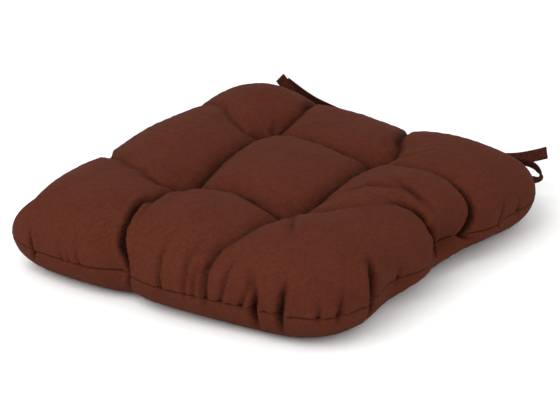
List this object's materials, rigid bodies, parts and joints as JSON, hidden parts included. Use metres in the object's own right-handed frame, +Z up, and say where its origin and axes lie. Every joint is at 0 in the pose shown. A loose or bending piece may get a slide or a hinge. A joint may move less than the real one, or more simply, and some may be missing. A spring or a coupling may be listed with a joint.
{
  "type": "chair seat pad",
  "caption": "Tufted square chair seat pad in plain brown cloth with tie strips on its back edge.",
  "frame": {"origin": "middle of the pad's outline, on the surface it lies on", "axes": "+X across the chair to the sitter's right, +Y towards the chair's back, where the ties are, +Z up"},
  "size_m": [0.4, 0.4342, 0.084],
  "materials": {
    "cover_cloth": "matte woven cotton blend",
    "filling": "loose polyester fibre",
    "sewing_thread": "spun polyester thread",
    "tufting_twine": "waxed twine"
  },
  "bodies": {
    "root": {"top_cover": "cover_cloth", "bottom_cover": "cover_cloth", "fibre_filling": "filling", "seam_thread": "sewing_thread", "closing_stitches": "sewing_thread", "tuft_twine_front_left": "tufting_twine", "tuft_twine_front_right": "tufting_twine", "tuft_twine_back_left": "tufting_twine", "tuft_twine_back_right": "tufting_twine", "tie_left_upper": "cover_cloth", "tie_left_lower": "cover_cloth", "tie_right_upper": "cover_cloth", "tie_right_lower": "cover_cloth", "bartack_left_upper": "sewing_thread", "bartack_left_lower": "sewing_thread", "bartack_right_upper": "sewing_thread", "bartack_right_lower": "sewing_thread"}
  },
  "joints": []
}
